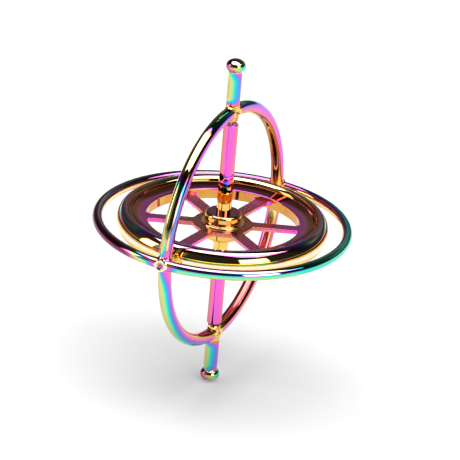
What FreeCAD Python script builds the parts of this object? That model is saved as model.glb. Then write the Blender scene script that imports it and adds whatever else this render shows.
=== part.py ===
"""A spinning gyroscope: a flywheel on an axle, held between two crossed metal rings.

Millimetres, +Z up along the spin axis, origin at the tip of the ball foot.
The vertical ring lies in the YZ plane and the horizontal ring crosses it at -Y (front) and +Y (back).
Frame pieces are drawn about the rings' common centre and rotor pieces about the rotor's mid plane,
and all of them are lifted into place when they are written.
"""
import FreeCAD, Part
import math
import os

from FreeCAD import Vector

# ---- ring frame ----
HORIZONTAL_RING_OUTER_D = 65.0
HORIZONTAL_ROD_D = 2.6
VERTICAL_RING_INSET = 0.93
VERTICAL_ROD_D = 3.3
RIVET_SHANK_D = 1.4
RIVET_HEAD_D = 3.0
RIVET_HEAD_PROUD = 0.28
RIVET_HEAD_CHAMFER = 0.12
RIVET_DIMPLE_D = 1.9
RIVET_DIMPLE_FLOOR_D = 1.1
RIVET_DIMPLE_DEPTH = 0.25

# ---- posts, balls and pivot cups ----
POST_D = 3.45
UPPER_POST_REACH = 10.4
LOWER_POST_REACH = 9.9
SADDLE_GRIP = 1.05
STEM_D = 1.6
BALL_D = 4.9
BALL_HEIGHT = 3.6
BALL_SIDE_R = 1.5
BALL_SPIGOT_D = 1.8
BALL_SPIGOT_LENGTH = 1.4
FOOT_SLOT_WIDTH = 0.8
FOOT_SLOT_DEPTH = 1.0
CUP_D = 3.25
CUP_LENGTH = 0.8
CUP_ROUNDING = 0.55
CUP_MOUTH_DEPTH = 0.3

# ---- axle and pivots ----
AXLE_D = 3.72
AXLE_END_GAP = 0.5
AXLE_CHAMFER = 0.2
ROTOR_DROP = 0.1
STRING_HOLE_D = 1.9
STRING_HOLE_HEIGHT = 13.0
STRING_HOLE_TURN = -27.0
PIVOT_D = 0.9
PIVOT_SEAT_DEPTH = 2.0
PIVOT_TIP_D = 0.12

# ---- flywheel ----
RIM_WIDTH = 3.9
RIM_CREST_INSET = 2.3
RIM_CREST_HEIGHT = 3.2
RIM_CREST_R = 1.65
RIM_FLANK_TILT = 47.0
RIM_WALL_HEIGHT = 0.6
DISH_WIDTH = 3.42
DISH_LIP_HEIGHT = 1.4
DISH_SINK = 0.12
DISH_LIP_ROUNDING = 0.25
WEB_THICKNESS = 1.0
SPOKE_COUNT = 6
SPOKE_WIDTH = 3.2
SPOKE_TURN = 25.5
WINDOW_HUB_MARGIN = 2.0
WINDOW_CORNER_R = 1.1
HUB_D = 9.16
HUB_HEIGHT = 2.9
HUB_TOP_ROUNDING = 0.8
HUB_FLANGE_D = 10.8
HUB_FLANGE_THICKNESS = 0.4

# ---- running clearances ----
PIVOT_RADIAL_CLEARANCE = 0.05
PIVOT_CONE_CLEARANCE = 0.1
RIM_RING_CLEARANCE = 1.72

# ---- derived ----
horizontal_ring_r = (HORIZONTAL_RING_OUTER_D - HORIZONTAL_ROD_D) / 2
vertical_ring_outer_r = HORIZONTAL_RING_OUTER_D / 2 - VERTICAL_RING_INSET
vertical_ring_inner_r = vertical_ring_outer_r - VERTICAL_ROD_D
vertical_ring_r = vertical_ring_outer_r - VERTICAL_ROD_D / 2
rivet_face = HORIZONTAL_RING_OUTER_D / 2 + RIVET_HEAD_PROUD
ball_half = BALL_HEIGHT / 2
ball_side_centre = BALL_D / 2 - BALL_SIDE_R
ball_crown_r = (ball_half ** 2 + ball_side_centre ** 2 - BALL_SIDE_R ** 2) / (2 * (ball_half - BALL_SIDE_R))
ball_crown_drop = ball_crown_r - ball_half
ball_seat_depth = math.sqrt(ball_crown_r ** 2 - (POST_D / 2) ** 2) - ball_crown_drop
cup_face = vertical_ring_inner_r - CUP_LENGTH
cup_mouth_r = PIVOT_D / 2 + PIVOT_RADIAL_CLEARANCE
cup_cone_start = cup_face + CUP_MOUTH_DEPTH
pivot_cone_start = cup_cone_start + PIVOT_RADIAL_CLEARANCE - PIVOT_CONE_CLEARANCE
axle_half = cup_face - AXLE_END_GAP
web_top = WEB_THICKNESS / 2
rim_outer_r = vertical_ring_inner_r - RIM_RING_CLEARANCE
rim_inner_r = rim_outer_r - RIM_WIDTH
opening_r = rim_inner_r - DISH_WIDTH
rim_crest_centre = (rim_outer_r - RIM_CREST_INSET, RIM_CREST_HEIGHT - RIM_CREST_R)
rim_seam_tilt = math.degrees(math.asin((rim_inner_r - rim_crest_centre[0]) / RIM_CREST_R))
rim_seam_height = rim_crest_centre[1] + RIM_CREST_R * math.cos(math.radians(rim_seam_tilt))
window_inner_r = HUB_FLANGE_D / 2 + WINDOW_HUB_MARGIN
centre_height = ball_half + LOWER_POST_REACH + vertical_ring_outer_r
rotor_height = centre_height - ROTOR_DROP

ORIGIN = Vector(0, 0, 0)
UP = Vector(0, 0, 1)
ALONG_X = Vector(1, 0, 0)
SIDES = {"front": Vector(0, -1, 0), "back": Vector(0, 1, 0)}


def rod_from(start, direction, length, diameter):
    return Part.makeCylinder(diameter / 2, length, start, direction)


def upright(start_z, end_z, diameter):
    return rod_from(Vector(0, 0, start_z), UP, end_z - start_z, diameter)


def upside_down(shape):
    """The same piece mirrored in the level plane it was drawn about."""
    return shape.mirror(ORIGIN, UP)


def circles_at(shape, height, axis):
    """The round edges of a shape that lie in the plane at this height along the axis."""
    found = []
    for edge in shape.Edges:
        ends = [axis.dot(vertex.Point) for vertex in edge.Vertexes]
        if all(abs(end - height) < 1e-6 for end in ends) and abs(axis.dot(edge.CenterOfMass) - height) < 1e-6:
            found.append(edge)
    return found


def in_section(point):
    return Vector(point[0], 0, point[1])


def section_line(start, end):
    return Part.LineSegment(in_section(start), in_section(end)).toShape()


def section_arc(start, middle, end):
    return Part.Arc(in_section(start), in_section(middle), in_section(end)).toShape()


def crest_arc(crest, end):
    """An arc that is level at its crest and runs down to its end."""
    run = end[0] - crest[0]
    drop = crest[1] - end[1]
    radius = (run ** 2 + drop ** 2) / (2 * drop)
    half_turn = math.asin(abs(run) / radius) / 2
    middle = (crest[0] + math.copysign(radius * math.sin(half_turn), run),
              crest[1] - radius * (1 - math.cos(half_turn)))
    return section_arc(crest, middle, end)


def on_circle(centre, radius, tilt):
    """The point of a section's circle whose normal is turned outwards from straight up by the tilt."""
    lean = math.radians(tilt)
    return centre[0] + radius * math.sin(lean), centre[1] + radius * math.cos(lean)


def tangent_arc(start, tilt, end):
    """An arc that leaves its start with the normal turned outwards by the tilt, and runs to its end."""
    lean = math.radians(tilt)
    run, rise = end[0] - start[0], end[1] - start[1]
    radius = -(run ** 2 + rise ** 2) / (2 * (run * math.sin(lean) + rise * math.cos(lean)))
    centre = on_circle(start, -radius, tilt)
    end_tilt = math.degrees(math.atan2(end[0] - centre[0], end[1] - centre[1]))
    return section_arc(start, on_circle(centre, radius, (tilt + end_tilt) / 2), end)


def turned(upper_edges, closing_edges=()):
    """A solid of revolution from the upper half of its section, mirrored below the mid plane."""
    lower_edges = [edge.mirror(ORIGIN, UP) for edge in upper_edges]
    wire = Part.Wire(Part.__sortEdges__([*upper_edges, *lower_edges, *closing_edges]))
    return Part.Face(wire).revolve(ORIGIN, UP, 360)


# ---- ring frame ----
def horizontal_rod():
    return Part.makeTorus(horizontal_ring_r, HORIZONTAL_ROD_D / 2)


def vertical_rod():
    return Part.makeTorus(vertical_ring_r, VERTICAL_ROD_D / 2, ORIGIN, ALONG_X)


def rivet_shank(outwards):
    """The plain shank, from the head's face to the middle of the vertical ring's rod."""
    return rod_from(outwards * vertical_ring_r, outwards, rivet_face - vertical_ring_r, RIVET_SHANK_D)


def ring_rivet(outwards):
    head = rod_from(outwards * horizontal_ring_r, outwards, rivet_face - horizontal_ring_r, RIVET_HEAD_D)
    head = head.makeChamfer(RIVET_HEAD_CHAMFER, circles_at(head, rivet_face, outwards))
    head = head.cut(horizontal_rod()).cut(vertical_rod())
    dimple = Part.makeCone(RIVET_DIMPLE_D / 2, RIVET_DIMPLE_FLOOR_D / 2, RIVET_DIMPLE_DEPTH,
                           outwards * rivet_face, outwards * -1)
    return head.fuse(rivet_shank(outwards)).cut(dimple).removeSplitter()


def horizontal_ring():
    ring = horizontal_rod()
    for outwards in SIDES.values():
        ring = ring.cut(rivet_shank(outwards))
    return ring


def vertical_ring():
    ring = vertical_rod().cut(horizontal_rod())
    for outwards in SIDES.values():
        ring = ring.cut(rivet_shank(outwards))
    return ring.cut(upright(-vertical_ring_outer_r, vertical_ring_outer_r, STEM_D))


def post(reach):
    """The upper post: a saddle end on the ring, a stem into it and a spigot up into the ball."""
    seat = vertical_ring_outer_r + reach - ball_seat_depth
    body = upright(vertical_ring_outer_r - SADDLE_GRIP, seat, POST_D).cut(vertical_rod())
    core = upright(vertical_ring_r, vertical_ring_r + VERTICAL_ROD_D, STEM_D)
    spigot = upright(seat - STEM_D, seat + BALL_SPIGOT_LENGTH, BALL_SPIGOT_D)
    return body.fuse(core).fuse(spigot).removeSplitter()


def ball(reach):
    """The upper ball: a flattened ball with a flat seat and a blind bore for the post's spigot."""
    lean = math.atan2(ball_side_centre, ball_crown_drop)
    shoulder = (ball_crown_r * math.sin(lean), ball_crown_r * math.cos(lean) - ball_crown_drop)
    side = section_arc(shoulder, (BALL_D / 2, 0), (shoulder[0], -shoulder[1]))
    axis_line = section_line((0, ball_half), (0, -ball_half))
    solid = turned([crest_arc((0, ball_half), shoulder)], [side, axis_line])
    solid = solid.cut(upright(-BALL_HEIGHT, -ball_seat_depth, 2 * BALL_D))
    solid = solid.cut(upright(-ball_seat_depth, BALL_SPIGOT_LENGTH - ball_seat_depth, BALL_SPIGOT_D))
    solid.translate(UP * (vertical_ring_outer_r + reach))
    return solid


def slotted_foot():
    """The lower ball, with a slot across its tip in line with the vertical ring."""
    foot = upside_down(ball(LOWER_POST_REACH))
    slot = Part.makeBox(FOOT_SLOT_WIDTH, 2 * BALL_D, FOOT_SLOT_DEPTH,
                        Vector(-FOOT_SLOT_WIDTH / 2, -BALL_D, -centre_height))
    return foot.cut(slot)


def pivot_cup():
    """The upper cup: a round-ended neck inside the ring, drilled to hold the axle's pivot."""
    neck = upright(cup_face, vertical_ring_r, CUP_D)
    neck = neck.makeFillet(CUP_ROUNDING, circles_at(neck, cup_face, UP))
    neck = neck.cut(vertical_rod())
    stem = upright(cup_face + CUP_ROUNDING, vertical_ring_r, STEM_D)
    mouth = upright(cup_face, cup_cone_start, 2 * cup_mouth_r)
    cone = Part.makeCone(cup_mouth_r, 0, cup_mouth_r, UP * cup_cone_start, UP)
    return neck.fuse(stem).cut(mouth).cut(cone).removeSplitter()


# ---- rotor ----
def axle():
    shaft = upright(-axle_half, axle_half, AXLE_D)
    ends = circles_at(shaft, axle_half, UP) + circles_at(shaft, -axle_half, UP)
    shaft = shaft.makeChamfer(AXLE_CHAMFER, ends)
    seat = upright(axle_half - PIVOT_SEAT_DEPTH, axle_half, PIVOT_D)
    turn = math.radians(STRING_HOLE_TURN)
    across = Vector(math.cos(turn), math.sin(turn), 0)
    mouth = across * -AXLE_D + UP * STRING_HOLE_HEIGHT
    return shaft.cut(seat).cut(upside_down(seat)).cut(rod_from(mouth, across, 2 * AXLE_D, STRING_HOLE_D))


def pivot_pin(cup_offset):
    """The upper pivot; cup_offset is how much further the cup stands from this end of the rotor."""
    cone_start = pivot_cone_start + cup_offset
    cone_length = (PIVOT_D - PIVOT_TIP_D) / 2
    shank = upright(axle_half - PIVOT_SEAT_DEPTH, cone_start, PIVOT_D)
    cone = Part.makeCone(PIVOT_D / 2, PIVOT_TIP_D / 2, cone_length, UP * cone_start, UP)
    return shank.fuse(cone).removeSplitter()


def flywheel_rim():
    """The heavy rim: a high round crest, a fuller outer flank and a narrow band round its middle."""
    seam = on_circle(rim_crest_centre, RIM_CREST_R, rim_seam_tilt)
    flank_top = on_circle(rim_crest_centre, RIM_CREST_R, RIM_FLANK_TILT)
    crest = section_arc(seam, on_circle(rim_crest_centre, RIM_CREST_R, 0), flank_top)
    wall_end = (rim_outer_r, RIM_WALL_HEIGHT / 2)
    flank = tangent_arc(flank_top, RIM_FLANK_TILT, wall_end)
    outer_wall = section_line(wall_end, (wall_end[0], -wall_end[1]))
    inner_wall = section_line(seam, (seam[0], -seam[1]))
    return turned([crest, flank], [outer_wall, inner_wall])


def dish():
    """The broad ring inside the rim, a little hollow, with a rounded lip round the opening."""
    lip_centre = (opening_r + DISH_LIP_ROUNDING, DISH_LIP_HEIGHT - DISH_LIP_ROUNDING)
    lip_side = on_circle(lip_centre, DISH_LIP_ROUNDING, -90)
    lip_top = on_circle(lip_centre, DISH_LIP_ROUNDING, 0)
    lip = section_arc(lip_side, on_circle(lip_centre, DISH_LIP_ROUNDING, -45), lip_top)
    seam = (rim_inner_r, rim_seam_height)
    middle = ((lip_top[0] + seam[0]) / 2, (lip_top[1] + seam[1]) / 2 - DISH_SINK)
    face = section_arc(lip_top, middle, seam)
    opening_wall = section_line(lip_side, (lip_side[0], -lip_side[1]))
    seam_wall = section_line(seam, (seam[0], -seam[1]))
    return turned([lip, face], [opening_wall, seam_wall])


def window(turn):
    """The cut-out between two spokes, whose sides are parallel to those spokes."""
    corners = {}
    for radius in (window_inner_r, opening_r):
        angle = math.pi / SPOKE_COUNT - math.asin(SPOKE_WIDTH / 2 / radius)
        corners[radius] = [Vector(radius * math.cos(a), radius * math.sin(a), -web_top)
                           for a in (-angle, angle)]
    inner, outer = corners[window_inner_r], corners[opening_r]
    edges = [Part.Arc(inner[0], Vector(window_inner_r, 0, -web_top), inner[1]).toShape(),
             Part.LineSegment(inner[1], outer[1]).toShape(),
             Part.Arc(outer[1], Vector(opening_r, 0, -web_top), outer[0]).toShape(),
             Part.LineSegment(outer[0], inner[0]).toShape()]
    prism = Part.Face(Part.Wire(edges)).extrude(UP * WEB_THICKNESS)
    upright_edges = [edge for edge in prism.Edges if edge.BoundBox.ZLength > WEB_THICKNESS / 2]
    prism = prism.makeFillet(WINDOW_CORNER_R, upright_edges)
    prism.rotate(ORIGIN, UP, turn)
    return prism


def flywheel_web():
    step = 360.0 / SPOKE_COUNT
    plate = upright(-web_top, web_top, 2 * opening_r)
    for index in range(SPOKE_COUNT):
        plate = plate.cut(window(SPOKE_TURN + (index + 0.5) * step))
    return plate.fuse(dish()).cut(upright(-web_top, web_top, AXLE_D)).removeSplitter()


def hub_collar():
    """The upper collar, pressed on the axle and standing on the web."""
    top = web_top + HUB_HEIGHT
    barrel = upright(web_top, top, HUB_D)
    barrel = barrel.makeFillet(HUB_TOP_ROUNDING, circles_at(barrel, top, UP))
    flange = upright(web_top, web_top + HUB_FLANGE_THICKNESS, HUB_FLANGE_D)
    flange = flange.makeChamfer(HUB_FLANGE_THICKNESS / 2,
                                circles_at(flange, web_top + HUB_FLANGE_THICKNESS, UP))
    return barrel.fuse(flange).cut(upright(web_top, top, AXLE_D)).removeSplitter()


frame_pieces = {
    "horizontal_ring": horizontal_ring(),
    "vertical_ring": vertical_ring(),
    "upper_post": post(UPPER_POST_REACH),
    "lower_post": upside_down(post(LOWER_POST_REACH)),
    "top_ball": ball(UPPER_POST_REACH),
    "foot_ball": slotted_foot(),
    "upper_pivot_cup": pivot_cup(),
    "lower_pivot_cup": upside_down(pivot_cup()),
}
for name, outwards in SIDES.items():
    frame_pieces[name + "_ring_rivet"] = ring_rivet(outwards)

rotor_pieces = {
    "axle": axle(),
    "upper_pivot_pin": pivot_pin(ROTOR_DROP),
    "lower_pivot_pin": upside_down(pivot_pin(-ROTOR_DROP)),
    "flywheel_rim": flywheel_rim(),
    "flywheel_web": flywheel_web(),
    "upper_hub_collar": hub_collar(),
    "lower_hub_collar": upside_down(hub_collar()),
}

os.makedirs("parts", exist_ok=True)
for pieces, height in ((frame_pieces, centre_height), (rotor_pieces, rotor_height)):
    for name, shape in pieces.items():
        shape.translate(UP * height)
        shape.exportStep(os.path.join("parts", name + ".step"))
        print(name, "solids", len(shape.Solids), "volume", round(shape.Volume, 3), "valid", shape.isValid())
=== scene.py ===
"""The looks of a spinning gyroscope: mirror polished metal under a rainbow coating, on a white table.

Metres, +Z up along the spin axis, origin at the tip of the ball foot. Shapes are drawn in millimetres,
frame pieces about the rings' common centre and rotor pieces about the rotor's mid plane, then lifted
and scaled.
"""
import math

import bmesh
import bpy
from mathutils import Matrix, Vector


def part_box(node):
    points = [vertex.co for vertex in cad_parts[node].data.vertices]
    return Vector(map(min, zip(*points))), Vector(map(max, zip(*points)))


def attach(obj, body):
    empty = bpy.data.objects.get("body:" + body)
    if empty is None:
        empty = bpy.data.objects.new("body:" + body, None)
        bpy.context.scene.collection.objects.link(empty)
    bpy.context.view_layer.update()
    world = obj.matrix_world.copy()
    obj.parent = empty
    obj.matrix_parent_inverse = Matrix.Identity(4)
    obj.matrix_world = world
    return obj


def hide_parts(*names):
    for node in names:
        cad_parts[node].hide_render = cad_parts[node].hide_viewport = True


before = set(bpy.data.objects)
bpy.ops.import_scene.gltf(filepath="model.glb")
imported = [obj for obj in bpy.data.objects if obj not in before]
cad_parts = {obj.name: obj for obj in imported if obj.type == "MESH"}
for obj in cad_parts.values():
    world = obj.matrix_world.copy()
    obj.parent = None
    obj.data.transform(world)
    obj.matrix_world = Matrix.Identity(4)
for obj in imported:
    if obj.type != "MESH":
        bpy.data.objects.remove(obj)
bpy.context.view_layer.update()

MM = 0.001
FULL_TURN = 2 * math.pi
UP = Vector((0, 0, 1))
ORIGIN = Vector((0, 0, 0))
SHARP_EDGE = math.radians(35)
# In millimetres: points nearer than the first are one point, points within the second lie on a plane.
SAME_PLACE = 1e-4
ON_PLANE = 1e-3
# A face with this many corners or more is a flat end, so it isn't shaded smooth.
FLAT_END_CORNERS = 9


def box_mm(node):
    low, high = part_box(node)
    return low / MM, high / MM


# ---- sizes read from the frame, in millimetres ----
h_low, h_high = box_mm("horizontal_ring")
v_low, v_high = box_mm("vertical_ring")
rim_low, rim_high = box_mm("flywheel_rim")
axle_low, axle_high = box_mm("axle")

CENTRE_Z = (h_low.z + h_high.z) / 2
ROTOR_Z = (rim_low.z + rim_high.z) / 2
H_ROD_R = (h_high.z - h_low.z) / 2
H_RING_R = h_high.x - H_ROD_R
V_ROD_R = (v_high.x - v_low.x) / 2
V_RING_R = (v_high.z - v_low.z) / 2 - V_ROD_R
POST_R = box_mm("upper_post")[1].x
CUP_R = box_mm("upper_pivot_cup")[1].x
AXLE_R = axle_high.x
AXLE_HALF = (axle_high.z - axle_low.z) / 2
RIM_R = rim_high.x
CREST_TOP = (rim_high.z - rim_low.z) / 2

# ---- sizes that no box gives, in millimetres ----
BALL_R = 2.45
BALL_HALF = 1.8
BALL_SIDE_R = 1.5
NECK_R = 0.25
NECK_LENGTH = 0.1
SEAM_PROUD = 0.03
UPPER_REACH = 10.4
LOWER_REACH = 9.9
POST_END_GAP = 0.4
NEAR_RING = 3.0
FOOT_SLOT_WIDTH = 0.8
FOOT_SLOT_DEPTH = 1.0
RIVET_R = 1.5
RIVET_PROUD = 0.28
RIVET_EDGE = 0.16
RIVET_LIP = 0.14
RIVET_ROOT = 0.2
DIMPLE_R = 0.95
DIMPLE_FLOOR_R = 0.55
DIMPLE_DEPTH = 0.25
DIMPLE_FLANK = 150
CUP_LENGTH = 0.8
CUP_ROUNDING = 0.55
CUP_BORE_R = 0.5
CUP_BORE_DEPTH = 0.3
CUP_EDGE = 0.1
CUP_ROOT = 0.5
BRAZE_R = 0.7
RIVET_BRAZE_R = 0.35
CUP_BRAZE_R = 0.45
RIM_WIDTH = 3.9
CREST_INSET = 2.3
CREST_ROUNDING = 1.65
FLANK_TILT = 47
RIM_WALL_HALF = 0.3
LIP_ROUNDING = 0.25
LIP_TOP = 1.4
DISH_WIDTH = 3.42
DISH_SINK = 0.12
WEB_HALF = 0.5
WEB_EDGE = 0.12
SPOKE_COUNT = 6
SPOKE_HALF = 1.6
SPOKE_TURN = math.radians(25.5)
SPOKE_OVERLAP = 0.2
WINDOW_INNER_R = 7.4
WINDOW_CORNER_R = 1.1
HUB_R = 4.58
HUB_TOP = 3.4
HUB_ROUNDING = 0.8
HUB_FILLET = 0.2
HUB_OVERLAP = 0.3
FLANGE_R = 5.4
FLANGE_TOP = 0.9
FLANGE_ROUNDING = 0.2
FLANGE_OVERLAP = 0.1
AXLE_ROUNDING = 0.2
PIVOT_R = 0.45
PIVOT_TIP_R = 0.06
PIVOT_SEAT = 2.0
STRING_HOLE_R = 0.95
STRING_HOLE_HEIGHT = 13.0
STRING_HOLE_TURN = math.radians(-27)
STRING_HOLE_EDGE = 0.1
SEAM_R = RIM_R - RIM_WIDTH
OPENING_R = SEAM_R - DISH_WIDTH
CREST_CENTRE = (RIM_R - CREST_INSET, CREST_TOP - CREST_ROUNDING)
SEAM_ANGLE = math.degrees(math.acos((SEAM_R - CREST_CENTRE[0]) / CREST_ROUNDING))
SEAM = (SEAM_R, CREST_CENTRE[1] + CREST_ROUNDING * math.sin(math.radians(SEAM_ANGLE)))


# ---- sections: points are (radius, height) ----
def arc(centre, radius, start, end, steps):
    """Points on an arc; angles in degrees, 0 pointing outwards and 90 up."""
    points = []
    for i in range(steps + 1):
        a = math.radians(start + (end - start) * i / steps)
        points.append((centre[0] + radius * math.cos(a), centre[1] + radius * math.sin(a)))
    return points


def line(start, end, steps):
    return [(start[0] + (end[0] - start[0]) * i / steps, start[1] + (end[1] - start[1]) * i / steps)
            for i in range(steps + 1)]


def angle_at(centre, point):
    return math.degrees(math.atan2(point[1] - centre[1], point[0] - centre[0]))


def mirrored(points):
    return [(r, -z) for r, z in reversed(points)]


# ---- meshes ----
def verts_of(parts):
    return [part for part in parts if isinstance(part, bmesh.types.BMVert)]


def everything(bm):
    return bm.verts[:] + bm.edges[:] + bm.faces[:]


def section_mesh(points, closed=False):
    """The section in the XZ plane, with an edge between neighbouring points."""
    bm = bmesh.new()
    verts = [bm.verts.new((r, 0, z)) for r, z in points]
    for a, b in zip(verts, verts[1:]):
        bm.edges.new((a, b))
    if closed:
        bm.edges.new((verts[-1], verts[0]))
    return bm


def swept(bm, stretches, doublings):
    """Turns a section about the Z axis over one sector, then doubles the sector up to a full turn.

    Stretches are (degrees, steps), one after another from the +X axis.
    """
    last = everything(bm)
    for degrees, steps in stretches:
        spun = bmesh.ops.spin(bm, geom=last, cent=ORIGIN, axis=UP, dvec=ORIGIN, angle=math.radians(degrees),
                              space=Matrix.Identity(4), steps=steps, use_merge=False,
                              use_normal_flip=False, use_duplicate=False)
        last = spun["geom_last"]
    for doubling in range(doublings, 0, -1):
        copy = verts_of(bmesh.ops.duplicate(bm, geom=everything(bm))["geom"])
        sector = Matrix.Rotation(FULL_TURN / 2 ** doubling, 3, "Z")
        bmesh.ops.rotate(bm, verts=copy, cent=ORIGIN, matrix=sector)
    seams = [v for v in bm.verts if v.is_boundary]
    bmesh.ops.remove_doubles(bm, verts=seams, dist=SAME_PLACE)
    return bm


def turned(points, steps, closed=False):
    """A solid of revolution about the Z axis."""
    return swept(section_mesh(points, closed), [(45, steps // 8)], 3)


def torus(ring_r, rod_r, around_rod, stretches, doublings):
    """A ring in the XY plane."""
    section = arc((ring_r, 0), rod_r, 0, 360, around_rod)[:-1]
    return swept(section_mesh(section, closed=True), stretches, doublings)


def turn_mesh(bm, angle, axis):
    bmesh.ops.rotate(bm, verts=bm.verts, cent=ORIGIN, matrix=Matrix.Rotation(angle, 3, axis))
    return bm


def flipped(bm):
    """The same shape mirrored in the level plane."""
    bmesh.ops.scale(bm, vec=(1, 1, -1), verts=bm.verts)
    return bm


# ---- distances from the frame's surfaces, about the rings' centre ----
def from_h_rod(p):
    return math.hypot(math.hypot(p.x, p.y) - H_RING_R, p.z) - H_ROD_R


def from_v_rod(p):
    return math.hypot(math.hypot(p.y, p.z) - V_RING_R, p.x) - V_ROD_R


# Further away than any fillet reaches.
OUT_OF_REACH = V_ROD_R


def from_post(p):
    """A post stands outside the ring's middle line only."""
    return math.hypot(p.x, p.y) - POST_R if abs(p.z) > V_RING_R else OUT_OF_REACH


def from_cup(p):
    """A cup stands inside the ring's middle line only."""
    return math.hypot(p.x, p.y) - CUP_R if abs(p.z) < V_RING_R else OUT_OF_REACH


def slope_of(distance, p):
    """The direction in which a distance grows fastest."""
    tiny = 1e-3
    steps = (Vector((tiny, 0, 0)), Vector((0, tiny, 0)), Vector((0, 0, tiny)))
    return Vector([distance(p + s) - distance(p - s) for s in steps]).normalized()


# The middle of a fillet, as a share of its radius, and the dip for each millimetre past it.
FILLET_MIDDLE = 0.293
DIP = 0.06


def brazed(bm, others, radius=BRAZE_R):
    """Raises a surface in a small fillet where it runs into other surfaces.

    Past the fillet's middle the surface dips a little, so that only one of two meeting fillets shows.
    """
    bmesh.ops.recalc_face_normals(bm, faces=bm.faces)
    bm.normal_update()
    lifts = []
    for v in bm.verts:
        lift = 0
        for distance in others:
            gap = distance(v.co)
            if gap < radius:
                r = radius * min(1, max(0, 1 - v.normal.dot(slope_of(distance, v.co))))
                away = min(r, max(0, gap))
                rise = r - math.sqrt(max(0, r * r - (r - away) ** 2))
                past_middle = max(0, FILLET_MIDDLE * r - away)
                lift = max(lift, rise - DIP * past_middle)
        lifts.append(lift)
    for v, lift in zip(bm.verts, lifts):
        v.co += v.normal * lift
    return bm


# ---- pieces of the frame ----
def level_ring():
    """The level ring, with finer rows at the front and back joints."""
    bare = (82, 75)
    at_joint = (16, 90)
    bm = torus(H_RING_R, H_ROD_R, around_rod=56, stretches=[bare, at_joint, bare], doublings=1)
    return brazed(bm, [from_v_rod])


def upright_ring():
    """The upright ring, with finer rows at the joints with the level ring and the posts."""
    bare = (76, 70)
    at_joint = (7, 40)
    bm = torus(V_RING_R, V_ROD_R, around_rod=64, stretches=[at_joint, bare, at_joint], doublings=2)
    turn_mesh(bm, math.pi / 2, "Y")
    return brazed(bm, [from_h_rod, from_post, from_cup])


def rivet():
    """The front rivet's head: a rounded disc with a dished dimple, facing -Y."""
    face = H_RING_R + H_ROD_R + RIVET_PROUD
    root = H_RING_R + RIVET_ROOT
    points = [(0, face - DIMPLE_DEPTH), (DIMPLE_FLOOR_R, face - DIMPLE_DEPTH)]
    points += arc((DIMPLE_R + RIVET_LIP, face - RIVET_LIP), RIVET_LIP, DIMPLE_FLANK, 90, 4)
    points += arc((RIVET_R - RIVET_EDGE, face - RIVET_EDGE), RIVET_EDGE, 90, 0, 5)
    points += line((RIVET_R, face - RIVET_EDGE), (RIVET_R, root), 14)[1:] + [(0, root)]
    bm = turn_mesh(turned(points, 64), math.pi / 2, "X")
    return brazed(bm, [from_h_rod], RIVET_BRAZE_R)


def post(reach):
    """A post from inside the ring's rod to inside its ball, with finer rows near the ring."""
    top = V_RING_R + V_ROD_R + reach - POST_END_GAP
    root = V_RING_R + POST_END_GAP
    near_ring = root + NEAR_RING
    points = [(0, root)] + line((POST_R, root), (POST_R, near_ring), 34)
    points += line((POST_R, near_ring), (POST_R, top), 16)[1:] + [(0, top)]
    return brazed(turned(points, 64), [from_v_rod])


def ball(reach):
    """A flattened ball that runs down to the post in a small fillet."""
    side_centre = BALL_R - BALL_SIDE_R
    crown_r = (BALL_HALF ** 2 + side_centre ** 2 - BALL_SIDE_R ** 2) / (2 * (BALL_HALF - BALL_SIDE_R))
    drop = crown_r - BALL_HALF
    lean = math.degrees(math.atan2(drop, side_centre))
    neck = (POST_R + NECK_R, drop - math.sqrt((crown_r + NECK_R) ** 2 - (POST_R + NECK_R) ** 2))
    meeting = angle_at((0, drop), neck)
    points = arc((0, -drop), crown_r, 90, lean, 16)
    points += arc((side_centre, 0), BALL_SIDE_R, lean, -lean, 26)[1:]
    points += arc((0, drop), crown_r, -lean, meeting, 3)[1:]
    points += arc(neck, NECK_R - SEAM_PROUD, meeting + 180, 180, 5)[1:]
    neck_end = neck[1] - NECK_LENGTH
    points += [(POST_R + SEAM_PROUD, neck_end), (0, neck_end)]
    bm = turned(points, 72)
    bmesh.ops.translate(bm, verts=bm.verts, vec=UP * (V_RING_R + V_ROD_R + reach))
    return bm


SECOND_FINISH_PLACE = 1


def slotted_foot():
    """The lower ball, with a slot across its tip in line with the upright ring."""
    bm = flipped(ball(LOWER_REACH))
    floor = FOOT_SLOT_DEPTH - (V_RING_R + V_ROD_R + LOWER_REACH + BALL_HALF)
    half = FOOT_SLOT_WIDTH / 2
    for point, normal in (((half, 0, 0), (1, 0, 0)), ((-half, 0, 0), (1, 0, 0)), ((0, 0, floor), UP)):
        bmesh.ops.bisect_plane(bm, geom=everything(bm), dist=SAME_PLACE, plane_co=point, plane_no=normal)
    middles = {f: f.calc_center_median() for f in bm.faces}
    gone = [f for f, middle in middles.items() if abs(middle.x) < half and middle.z < floor]
    bmesh.ops.delete(bm, geom=gone, context="FACES")
    rim = [e for e in bm.edges if e.is_boundary]
    floor_edges = []
    for side in (-half, half):
        wall = [e for e in rim if all(abs(v.co.x - side) < ON_PLANE for v in e.verts)]
        corners = [v for v in {v for e in wall for v in e.verts} if abs(v.co.z - floor) < ON_PLANE]
        floor_edges.append(bm.edges.new(corners))
        bmesh.ops.edgeloop_fill(bm, edges=wall + floor_edges[-1:], mat_nr=SECOND_FINISH_PLACE)
    ends = [e for e in rim if all(abs(v.co.z - floor) < ON_PLANE for v in e.verts)]
    bmesh.ops.edgeloop_fill(bm, edges=ends + floor_edges, mat_nr=SECOND_FINISH_PLACE)
    return bm


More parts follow.
